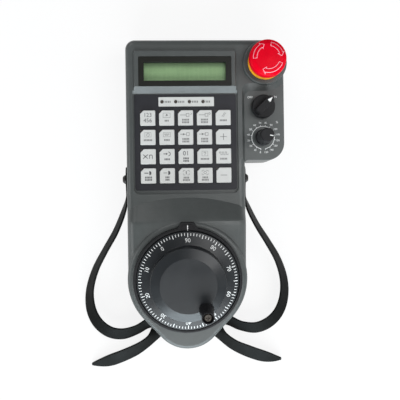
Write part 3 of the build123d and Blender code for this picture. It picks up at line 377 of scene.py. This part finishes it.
mask_ink = ink_of("mask_ink", (0.009, 0.009, 0.007), rough=0.4, depth=0.003, shine=0.25)
white_ink = ink_of("white_ink", (0.80, 0.81, 0.80), drift=0.02)
dark_ink = ink_of("dark_ink", (0.045, 0.045, 0.05))
soft_ink = ink_of("soft_ink", (0.13, 0.13, 0.13))
pink_ink = ink_of("pink_ink", (0.86, 0.42, 0.50), rough=0.45, drift=0.03)


def clock(radius, angle, centre=(0, 0)):
    """A point at a clock angle in degrees from straight up."""
    return centre[0] + radius * sin(radians(angle)), centre[1] + radius * cos(radians(angle))


# %% [markdown]
# ## The graduated dial
# The dial has a hundred marks, one for each pulse, with a longer one at every fifth and the longest at
# every tenth. The figures run from 0 to 90 and stand with their tops outwards. The whole wheel leans by
# ten degrees, so the drawing is made flat about the wheel's own axis, which its joint in the record gives,
# and then leans with it.

# %% Print the dial
spin = next(joint for joint in frame["record"]["behaviour"]["joints"] if joint["name"] == "wheel_spin")
lean = UP.rotation_difference(Vector(spin["axis"])).to_matrix().to_4x4()
WHEEL = Matrix.Translation(spin["pos_m"]) @ lean
MARKS, FIGURES = 100, 10
MARK_RADIUS, MARK_WIDTH, LONG_MARK_WIDTH = 38.6, 0.46, 0.56
mark_length = {0: 2.5, 5: 2.4}
FIGURE_RADIUS, FIGURE_HEIGHT = 33.3, 3.2
ink = bmesh.new()
for mark in range(MARKS):
    length = mark_length.get(mark % 10, 1.5)
    angle = mark * 360 / MARKS
    width = LONG_MARK_WIDTH if mark % 5 == 0 else MARK_WIDTH
    draw_line(ink, clock(MARK_RADIUS - length, angle), clock(MARK_RADIUS, angle), width)
for ten in range(FIGURES):
    angle = ten * 360 / FIGURES
    draw_words(ink, str(90 - 10 * ten), clock(FIGURE_RADIUS, angle), FIGURE_HEIGHT, angle)
printed("dial_print", ink, WHEEL, "wheel_dial", "handwheel", white_ink)

INDEX_START, INDEX_END, INDEX_WIDTH = 40.9, 44.5, 0.6
ink = bmesh.new()
draw_line(ink, (0, INDEX_START), (0, INDEX_END), INDEX_WIDTH)
printed("index_line", ink, WHEEL, "wheel_flange", "case", white_ink)

# %% [markdown]
# ## The two knobs and their scales
# The upper knob is a two-way switch with a white triangle on its grip, which points at ON. The lower one
# sets a share in percent: an arc, sixteen short marks and their figures are printed round it on the panel,
# with a gap at the bottom where the knob stops. Its pointer stands at 120.

# %% Print the panel and the knobs
SELECTOR, selector_top = top_of("selector_knob")
OVERRIDE, override_top = top_of("override_knob")
PANEL_HEIGHT = 43.0
PANEL = Matrix.Translation((0, 0, PANEL_HEIGHT * MM))
FIRST_STOP, STEP_ANGLE, STOPS = 191.25, 22.5, 16
LAST_STOP = FIRST_STOP + STEP_ANGLE * (STOPS - 1)
ARC_RADIUS, STOP_START, STOP_END, SHARE_RADIUS = 9.1, 9.3, 10.0, 12.0
ARC_WIDTH, STOP_WIDTH, SHARE_HEIGHT = 0.38, 0.34, 1.55
ink = bmesh.new()
draw_arc(ink, OVERRIDE, ARC_RADIUS, FIRST_STOP, LAST_STOP, ARC_WIDTH)
for stop in range(STOPS):
    angle = FIRST_STOP + STEP_ANGLE * stop
    draw_line(ink, clock(STOP_START, angle, OVERRIDE), clock(STOP_END, angle, OVERRIDE), STOP_WIDTH)
    draw_words(ink, str(10 * stop), clock(SHARE_RADIUS, angle, OVERRIDE), SHARE_HEIGHT)
draw_words(ink, "%", (OVERRIDE[0] + 11.4, OVERRIDE[1] + 12.3), 1.9)
draw_words(ink, "OFF", (SELECTOR[0] - 10.1, SELECTOR[1] + 7.9), 1.8)
draw_words(ink, "ON", (SELECTOR[0] + 9.6, SELECTOR[1] + 8.1), 1.7)
printed("panel_print", ink, PANEL, "front_case", "case", white_ink)

TRIANGLE_HALF, TRIANGLE_BASE, TRIANGLE_TIP = 1.45, 3.7, 8.0
ink = bmesh.new()
draw_shape(ink, [(-TRIANGLE_HALF, TRIANGLE_BASE), (TRIANGLE_HALF, TRIANGLE_BASE), (0, TRIANGLE_TIP)])
grip = selector_top @ Matrix.Rotation(radians(-45), 4, "Z")
printed("selector_print", ink, grip, "selector_knob", "selector", white_ink)

POINTED_STOP = 12
POINTER_START, POINTER_END, POINTER_WIDTH = 2.3, 5.0, 0.7
pointer = FIRST_STOP + STEP_ANGLE * POINTED_STOP
ink = bmesh.new()
draw_line(ink, clock(POINTER_START, pointer), clock(POINTER_END, pointer), POINTER_WIDTH)
printed("override_print", ink, override_top, "override_knob", "override", white_ink)

# %% [markdown]
# ## The stop button
# Three curved arrows on the cap show which way it turns to let go. Only their outlines are printed. Each
# is an outer and an inner arc, a straight tail and a broad head.


# %% Print the turning arrows
TURNING_ARROWS = ((11, 84), (113, 206), (266, 341))
HEAD_ANGLE = 14


def draw_turning_arrow(ink, first, last):
    """Outline of a curved arrow that runs clockwise between two clock angles."""
    outer, inner, wide, line = 11.7, 8.9, 1.2, 0.34
    neck = last - HEAD_ANGLE
    middle = (outer + inner) / 2
    draw_arc(ink, (0, 0), outer, first, neck, line)
    draw_arc(ink, (0, 0), inner, first, neck, line)
    draw_line(ink, clock(inner, first), clock(outer, first), line)
    draw_path(ink, [clock(outer, neck), clock(outer + wide, neck), clock(middle, last)], line)
    draw_path(ink, [clock(inner, neck), clock(inner - wide, neck), clock(middle, last)], line)


ink = bmesh.new()
for first, last in TURNING_ARROWS:
    draw_turning_arrow(ink, first, last)
printed("stop_print", ink, top_of("estop_cap")[1], "estop_cap", "estop_button", pink_ink)

# %% [markdown]
# ## Key symbols
# The keys of such a sheet carry line symbols over a short caption. Here they are plain symbols, and the
# captions are rows of small blocks that stand for words too small to read. Each key has its own strokes,
# in millimetres from the key's centre. The strip with the four lamps gets its words in the same way.


# %% The strokes that the symbols are made of
LETTER_PITCH, LETTER_RISE, LETTER_WIDTH = 1.15, 0.33, 0.78


def caption(ink, y, count):
    """A row of small blocks in place of a word."""
    for index in range(count):
        x = (index - (count - 1) / 2) * LETTER_PITCH
        draw_line(ink, (x, y - LETTER_RISE), (x, y + LETTER_RISE), LETTER_WIDTH)


def frame_box(ink, x, y, width, height, line=0.3):
    half, rise = width / 2, height / 2
    corners = [(x - half, y - rise), (x + half, y - rise), (x + half, y + rise), (x - half, y + rise)]
    draw_path(ink, corners + corners[:1], line)


def dashed_box(ink, x, y, width, height):
    for sign in (-1, 1):
        for part in (-1, 1):
            edge = x + sign * width / 2
            draw_line(ink, (edge, y + part * height * 0.2), (edge, y + part * height * 0.42), 0.3)
            rim = y + sign * height / 2
            draw_line(ink, (x + part * width * 0.2, rim), (x + part * width * 0.45, rim), 0.3)


def half_disc(ink, x, y, radius):
    draw_shape(ink, [clock(radius, angle, (x, y)) for angle in range(0, 181, 20)])


def wave(ink, x, y, step, height, count, line=0.3):
    """A square wave that starts and ends on its middle line."""
    points = [(x, y)]
    for index in range(count):
        top = y + height if index % 2 == 0 else y - height
        points += [(points[-1][0], top), (points[-1][0] + step, top)]
    draw_path(ink, points + [(points[-1][0], y)], line)


def chuck(ink, y):
    """A workpiece in a chuck, with its rows of caption."""
    draw_line(ink, (-4.2, y), (0.4, y), 0.35)
    frame_box(ink, 1.7, y, 2.2, 2.4, 0.3)
    caption(ink, -1.6, 5)
    caption(ink, -3.6, 5)


# %% Draw one symbol for each key
def symbol(ink, key):
    if key == 1:
        draw_words(ink, "123", (0, 2.3), 3.2)
        draw_words(ink, "456", (0, -2.1), 3.2)
    elif key == 2:
        frame_box(ink, 0, 2, 5.6, 3.6, 0.22)
        draw_shape(ink, [(-0.9, 1.2), (1.3, 2.0), (-0.1, 3.3)])
        caption(ink, -2.3, 3)
    elif key in (3, 4):
        chuck(ink, 2.2)
        draw_arc(ink, (4.1, 3.2), 0.65, 0, 360 if key == 4 else 200, 0.3)
    elif key == 5:
        draw_line(ink, (-0.9, 0.9), (1.2, 3.9), 0.3)
        draw_line(ink, (0.1, 0.6), (2.2, 3.6), 0.3)
        caption(ink, -2.3, 5)
    elif key == 6:
        frame_box(ink, 0, 2, 5.0, 3.6, 0.2)
        draw_arc(ink, (0, 2), 1.2, 0, 360, 0.28)
        draw_line(ink, (0, 2), (0, 3.0), 0.26)
        caption(ink, -2.3, 6)
    elif key == 7:
        frame_box(ink, 0, 2, 5.6, 3.4, 0.2)
        wave(ink, -1.8, 2, 0.7, 0.6, 5, 0.26)
        caption(ink, -2.3, 4)
    elif key in (8, 9):
        chuck(ink, 2.2)
        draw_shape(ink, [(-2.2, 1.3), (-0.4, 2.2), (-2.2, 3.1)])
    elif key == 10:
        draw_line(ink, (-2.4, 0), (2.4, 0), 0.42)
        draw_line(ink, (0, -2.4), (0, 2.4), 0.42)
    elif key == 11:
        draw_line(ink, (-3.9, -1.5), (-0.4, 1.5), 0.5)
        draw_line(ink, (-3.9, 1.5), (-0.4, -1.5), 0.5)
        draw_line(ink, (1.1, -1.5), (1.1, 1.2), 0.5)
        draw_arc(ink, (2.2, 0.2), 1.1, -90, 90, 0.5)
        draw_line(ink, (3.3, -1.5), (3.3, 0.2), 0.5)
    elif key == 12:
        draw_line(ink, (-2.6, 2), (-0.6, 2), 0.6)
        draw_shape(ink, [(-0.8, 1.1), (0.6, 2.0), (-0.8, 2.9)])
        draw_arc(ink, (1.0, 2.0), 1.5, 0, 180, 0.5)
        caption(ink, -2.3, 4)
    elif key == 13:
        draw_words(ink, "01", (0, 2.2), 3.6)
        caption(ink, -1.7, 4)
        caption(ink, -3.7, 4)
    elif key == 14:
        frame_box(ink, 0, 2, 4.6, 3.8, 0.22)
        draw_arc(ink, (0, 2.5), 0.7, -90, 150, 0.4)
        draw_line(ink, (0, 1.0), (0, 1.2), 0.45)
        caption(ink, -2.3, 6)
    elif key == 15:
        wave(ink, -3.4, 2, 1.15, 1.1, 6, 0.3)
        caption(ink, -2.3, 5)
    elif key in (16, 17):
        draw_line(ink, (-2.8, 2.2), (-0.4, 2.2), 0.7 if key == 16 else 0.4)
        half_disc(ink, 0.7, 2.2, 1.7)
        caption(ink, -1.3, 5 if key == 16 else 3)
        caption(ink, -3.2, 5 if key == 16 else 3)
    elif key in (18, 19):
        dashed_box(ink, 0, 2.2, 4.8, 3.6)
        if key == 18:
            draw_line(ink, (0, 1.3), (0, 3.1), 0.7)
        else:
            draw_arc(ink, (0, 2.2), 1.0, 0, 360, 0.3)
        caption(ink, -1.7, 4)
        caption(ink, -3.6, 5)
    elif key == 20:
        draw_line(ink, (-2.4, 0), (2.4, 0), 0.42)


bold_keys = (1, 11, 12, 13, 16, 17)
for key in range(1, 21):
    number = str(key).zfill(2)
    node = "key_" + number
    ink = bmesh.new()
    symbol(ink, key)
    finish = dark_ink if key in bold_keys else soft_ink
    printed(node + "_print", ink, top_of(node)[1], node, "button_" + number, finish)

# %% Print the words of the lamp strip
FIRST_WORD, WORD_PITCH, STRIP_LETTER_PITCH = -16.8, 10.9, 1.3
ink = bmesh.new()
for lamp in range(4):
    for index in range(4 if lamp < 3 else 3):
        x = FIRST_WORD + lamp * WORD_PITCH + index * STRIP_LETTER_PITCH
        draw_line(ink, (x, -0.5), (x, 0.4), 0.75)
printed("strip_print", ink, top_of("status_strip")[1], "status_strip", "case", soft_ink)

# %% [markdown]
# ## The black mask of the display
# The pane has a black border printed on it that hides the edge of the display. It is one flat frame: a
# small grid of three by three cells whose middle cell is taken out, and whose lines are then moved to the
# edges of the mask and of the window.

# %% Print the mask round the window
ink = bmesh.new()
bmesh.ops.create_grid(ink, x_segments=3, y_segments=3, size=1.5)
bmesh.ops.delete(ink, geom=[f for f in ink.faces if f.calc_center_median().length < 0.1], context="FACES")
MASK_HALF, WINDOW_HALF = (36.7, 11.6), (32.6, 7.4)
for vertex in ink.verts:
    for axis in (0, 1):
        reach = MASK_HALF if abs(vertex.co[axis]) > 1 else WINDOW_HALF
        vertex.co[axis] = reach[axis] if vertex.co[axis] > 0 else -reach[axis]
printed("display_mask", ink, display_top, "lcd_window", "case", mask_ink)

# %% [markdown]
# ## The straps
# Two flat rubber bands start at the studs on the side walls, swing outwards, pass through the guide behind
# the lower end and come out on the other side. A flat band could be a bevelled curve, but then its twist
# is hard to steer. Here a long grid is laid along the route instead: each row of it is placed by a smooth
# curve through the stations, with its own lean. The Solidify modifier then gives the thickness, and
# Bevel takes the sharp edges off.

# %% Stations of both routes, as x, y, z and the lean from upright in degrees
left_route = [
    (-48.2, -21.0, 27.0, 0), (-48.2, -34.0, 27.0, 0), (-48.5, -46.0, 26.8, 5), (-51.4, -57.5, 26.0, 17),
    (-58.4, -74.0, 24.0, 21), (-67.2, -89.0, 21.0, 22), (-76.0, -105.5, 17.5, 26), (-81.2, -123.0, 13.8, 33),
    (-80.8, -139.0, 11.2, 45), (-75.4, -151.2, 9.9, 54), (-66.0, -159.1, 9.2, 57), (-55.0, -161.2, 8.9, 54),
    (-43.5, -158.2, 8.9, 44), (-35.0, -153.6, 9.2, 44), (-27.5, -150.2, 9.5, 72), (-18.0, -146.8, 8.9, 86),
    (-7.5, -145.0, 8.8, 90), (7.5, -145.0, 8.8, 90), (19.0, -151.0, 8.4, 88), (23.8, -157.5, 8.2, 74),
    (29.5, -164.8, 7.2, 46), (39.5, -173.0, 6.3, 50), (51.5, -179.0, 5.2, 60), (63.5, -183.6, 4.2, 60),
    (73.5, -186.2, 3.2, 60), (81.4, -187.3, 1.9, 58)]
right_route = [
    (48.2, -21.0, 27.0, 0), (48.2, -34.0, 27.0, 0), (48.6, -45.0, 26.8, 5), (51.6, -55.5, 26.0, 19),
    (58.9, -70.0, 24.2, 22), (68.0, -84.3, 21.4, 25), (76.8, -99.5, 18.0, 29), (82.2, -116.0, 14.6, 36),
    (82.7, -131.5, 12.0, 44), (78.6, -144.6, 10.4, 52), (70.4, -153.7, 9.6, 56), (59.0, -158.3, 9.2, 54),
    (46.5, -156.8, 8.4, 45), (37.0, -152.6, 7.2, 46), (28.5, -149.0, 5.6, 72), (19.0, -146.2, 4.6, 88),
    (7.5, -145.0, 4.4, 90), (-7.5, -145.0, 4.4, 90), (-19.5, -152.0, 4.3, 88), (-24.0, -158.2, 4.5, 76),
    (-29.5, -165.4, 5.4, 46), (-36.5, -171.2, 5.5, 46), (-46.0, -176.8, 5.0, 57), (-59.6, -182.4, 4.4, 62),
    (-70.5, -185.8, 3.4, 62), (-81.7, -187.9, 1.9, 58)]

# %% The curve and the width of a band
BAND_WIDTH, BAND_THICKNESS, BAND_EDGE = 12.0, 1.5, 0.35
POINT_LENGTH, BLUNT_END, POINT_FULLNESS = 22.0, 1.2, 0.8
LEAST_SHARE = 0.12


def smooth_between(route, position):
    """A station on the Catmull-Rom curve through the route; the position counts stations."""
    last = len(route) - 1
    index = min(int(position), last - 1)
    t = position - index
    a, b, c, d = [Vector(route[min(max(index + step, 0), last)]) for step in (-1, 0, 1, 2)]
    square = 2 * a - 5 * b + 4 * c - d
    cube = 3 * b - a - 3 * c + d
    return 0.5 * (2 * b + (c - a) * t + square * t ** 2 + cube * t ** 3)


def band_half_width(start_gap, end_gap):
    """Half the width, rounded at the stud end and drawn to a blunt point at the free end."""
    half = BAND_WIDTH / 2
    start_share = (1 - (1 - min(1, start_gap / half)) ** 2) ** 0.5
    point = min(1, (end_gap + BLUNT_END) / POINT_LENGTH)
    return half * max(LEAST_SHARE, start_share) * sin(point * pi / 2) ** POINT_FULLNESS


# %% Lay a grid along each route
ROWS_PER_STATION, CELLS_ACROSS = 10, 6


def strap(name, route, side, node):
    count = (len(route) - 1) * ROWS_PER_STATION
    stations = [smooth_between(route, index / ROWS_PER_STATION) for index in range(count + 1)]
    walked = [0.0]
    for before, after in zip(stations, stations[1:]):
        walked.append(walked[-1] + (after - before).to_3d().length)
    band = bmesh.new()
    bmesh.ops.create_grid(band, x_segments=count, y_segments=CELLS_ACROSS, size=0.5)
    for vertex in band.verts:
        row = round((vertex.co.x + 0.5) * count)
        share = vertex.co.y * 2
        before, after = stations[max(row - 1, 0)], stations[min(row + 1, count)]
        along = (after - before).to_3d().normalized()
        inboard = Vector((-along.y, along.x, 0)).normalized() * -side
        lean = radians(stations[row][3])
        across = UP * cos(lean) + inboard * sin(lean)
        half = band_half_width(walked[row], walked[-1] - walked[row])
        vertex.co = (stations[row].to_3d() + across * share * half) * MM
    bmesh.ops.recalc_face_normals(band, faces=band.faces)
    for face in band.faces:
        face.smooth = True
    mesh = bpy.data.meshes.new(name)
    band.to_mesh(mesh)
    band.free()
    mesh.materials.append(finishes["rubber_black"])
    piece = bpy.data.objects.new(name, mesh)
    bpy.context.scene.collection.objects.link(piece)
    thickness = piece.modifiers.new("thickness", "SOLIDIFY")
    thickness.thickness = BAND_THICKNESS * MM
    thickness.offset = 0
    edge = piece.modifiers.new("edge", "BEVEL")
    edge.width = BAND_EDGE * MM
    edge.segments = 3
    edge.limit_method = "ANGLE"
    edge.angle_limit = radians(50)
    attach(piece, "case")
    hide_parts(node)
    print(name, "length in mm:", round(walked[-1], 1))
    return piece


strap("strap_band_left", left_route, -1, "strap_left")
strap("strap_band_right", right_route, 1, "strap_right")

# %% [markdown]
# ## The floor
# The photograph looks straight down on a white ground. A pale floor catches the soft shadow. More lamps
# could make it white, but they would wash out the object too. So the floor's own glow does it, and only
# for rays that come from the camera or from metal and glass. The glow is full beyond a metre, so the
# floor's end doesn't show as a line against the white room.


# %% Lay the floor
FLOOR_SIZE = 2.5
GLOW_START, GLOW_END, LEAST_GLOW = 0.3, 1.0, 0.85


def seen_directly(nodes, links):
    """One for rays from the camera and for those that metal and glass send on, zero for the rest."""
    rays = nodes.new("ShaderNodeLightPath")
    seen = rays.outputs["Is Camera Ray"]
    for kind in ("Is Glossy Ray", "Is Transmission Ray"):
        either = nodes.new("ShaderNodeMath")
        either.operation = "MAXIMUM"
        links.new(seen, either.inputs[0])
        links.new(rays.outputs[kind], either.inputs[1])
        seen = either.outputs["Value"]
    return seen


def pale_floor():
    material = bpy.data.materials.new("floor")
    shader = shader_of(material)
    nodes, links = material.node_tree.nodes, material.node_tree.links
    shader.inputs["Base Color"].default_value = (0.86, 0.86, 0.86, 1)
    shader.inputs["Roughness"].default_value = 0.9
    glow = nodes.new("ShaderNodeEmission")
    glow.inputs["Color"].default_value = (1, 1, 1, 1)
    place = nodes.new("ShaderNodeTexCoord")
    reach = nodes.new("ShaderNodeVectorMath")
    reach.operation = "LENGTH"
    links.new(place.outputs["Object"], reach.inputs[0])
    share = nodes.new("ShaderNodeMath")
    share.operation = "MULTIPLY"
    links.new(seen_directly(nodes, links), share.inputs[0])
    rise = mapped(material, reach.outputs["Value"], (GLOW_START, GLOW_END), (LEAST_GLOW, 1.0))
    links.new(rise, share.inputs[1])
    mix = nodes.new("ShaderNodeMixShader")
    links.new(share.outputs["Value"], mix.inputs["Fac"])
    links.new(shader.outputs["BSDF"], mix.inputs[1])
    links.new(glow.outputs["Emission"], mix.inputs[2])
    links.new(mix.outputs["Shader"], nodes["Material Output"].inputs["Surface"])
    return material


ground = bmesh.new()
under = Matrix.Translation((0, 0, cad_low.z - 0.2 * MM))
bmesh.ops.create_grid(ground, x_segments=1, y_segments=1, size=FLOOR_SIZE, matrix=under)
ground_mesh = bpy.data.meshes.new("floor")
ground.to_mesh(ground_mesh)
ground.free()
ground_mesh.materials.append(pale_floor())
floor = bpy.data.objects.new("floor", ground_mesh)
bpy.context.scene.collection.objects.link(floor)
print("floor size in metres:", 2 * FLOOR_SIZE)

# %% [markdown]
# ## Lamps and room
# Soft light comes from broad area lamps. The main one stands at the handwheel's end, because the slope
# under the display and the sides of the turret are the brightest edges. A low, bluish one beside it gives
# the slope and the dial their cool sheen. Two small ones graze the side walls, and two weak ones fill in
# from above. The room is dim for the light, and plain white where the camera looks past the floor.


# %% Set the lamps and the room
AT_OBJECT, AT_WALLS, AT_SLOPE = (0, -0.04, 0.03), (0, -0.08, 0.03), (0, 0.03, 0.04)


def soft_lamp(name, place, aim, size, watts, colour=(1, 1, 1)):
    data = bpy.data.lights.new(name, "AREA")
    data.color = colour
    data.shape = "RECTANGLE"
    data.size, data.size_y = size
    data.energy = watts
    lamp = bpy.data.objects.new(name, data)
    lamp.location = place
    lamp.rotation_euler = (Vector(aim) - Vector(place)).to_track_quat("-Z", "Y").to_euler()
    bpy.context.scene.collection.objects.link(lamp)
    return lamp


soft_lamp("wheel_end_lamp", (0.05, -0.98, 0.85), AT_OBJECT, size=(1.0, 0.6), watts=8)
soft_lamp("slope_lamp", (0.0, -1.0, 0.28), AT_SLOPE, size=(1.0, 0.3), watts=11.5, colour=(0.80, 0.93, 1.0))
soft_lamp("left_edge_lamp", (-1.0, -0.2, 0.4), AT_WALLS, size=(0.7, 0.3), watts=2.8)
soft_lamp("right_edge_lamp", (1.0, -0.15, 0.4), AT_WALLS, size=(0.7, 0.3), watts=1.2)
soft_lamp("right_lamp", (0.58, 0.05, 1.1), AT_OBJECT, size=(0.5, 0.9), watts=6)
soft_lamp("far_left_lamp", (-0.6, 0.95, 0.8), AT_OBJECT, size=(0.6, 0.4), watts=3)
print("lamps:", len(bpy.data.lights))


def studio_world():
    """A dim, slightly blue room for the light, and plain white where the camera looks past the floor."""
    world = bpy.data.worlds.new("studio")
    world.use_nodes = True
    nodes, links = world.node_tree.nodes, world.node_tree.links
    room = nodes["Background"]
    room.inputs["Color"].default_value = (0.92, 0.96, 1.0, 1)
    room.inputs["Strength"].default_value = 0.28
    white = nodes.new("ShaderNodeBackground")
    white.inputs["Color"].default_value = (1, 1, 1, 1)
    white.inputs["Strength"].default_value = 1.0
    rays = nodes.new("ShaderNodeLightPath")
    mix = nodes.new("ShaderNodeMixShader")
    links.new(rays.outputs["Is Camera Ray"], mix.inputs["Fac"])
    links.new(room.outputs["Background"], mix.inputs[1])
    links.new(white.outputs["Background"], mix.inputs[2])
    links.new(mix.outputs["Shader"], nodes["World Output"].inputs["Surface"])
    return world


bpy.context.scene.world = studio_world()
bpy.context.scene.view_settings.view_transform = "Standard"

# %% [markdown]
# ## The camera
# The photograph was taken from straight above, a little to the left of the middle. How far the tall pieces
# lean away from the picture's middle tells how high the camera hung, and the dial's width in pixels then
# gives the focal length. A lens can be set in millimetres, but the angle of view is plainer here: it
# follows from half the picture's width and the focal length, both in pixels.

# %% Hang the camera
CAMERA_X, CAMERA_Y, CAMERA_Z = -14.0, -48.3, 560.0
CAMERA_TURN, CAMERA_TILT = -0.794, -2.741
HALF_PICTURE, FOCAL_LENGTH = 200, 646.9
camera_data = bpy.data.cameras.new("camera")
camera_data.sensor_fit = "HORIZONTAL"
camera_data.angle = 2 * atan(HALF_PICTURE / FOCAL_LENGTH)
camera_data.clip_start = 10 * MM
camera = bpy.data.objects.new("camera", camera_data)
aim = Matrix.Rotation(radians(CAMERA_TURN), 4, "Z") @ Matrix.Rotation(radians(CAMERA_TILT), 4, "Y")
camera.matrix_world = Matrix.Translation(Vector((CAMERA_X, CAMERA_Y, CAMERA_Z)) * MM) @ aim
bpy.context.scene.collection.objects.link(camera)
bpy.context.scene.camera = camera
print("camera height in mm:", round(camera.location.z / MM))
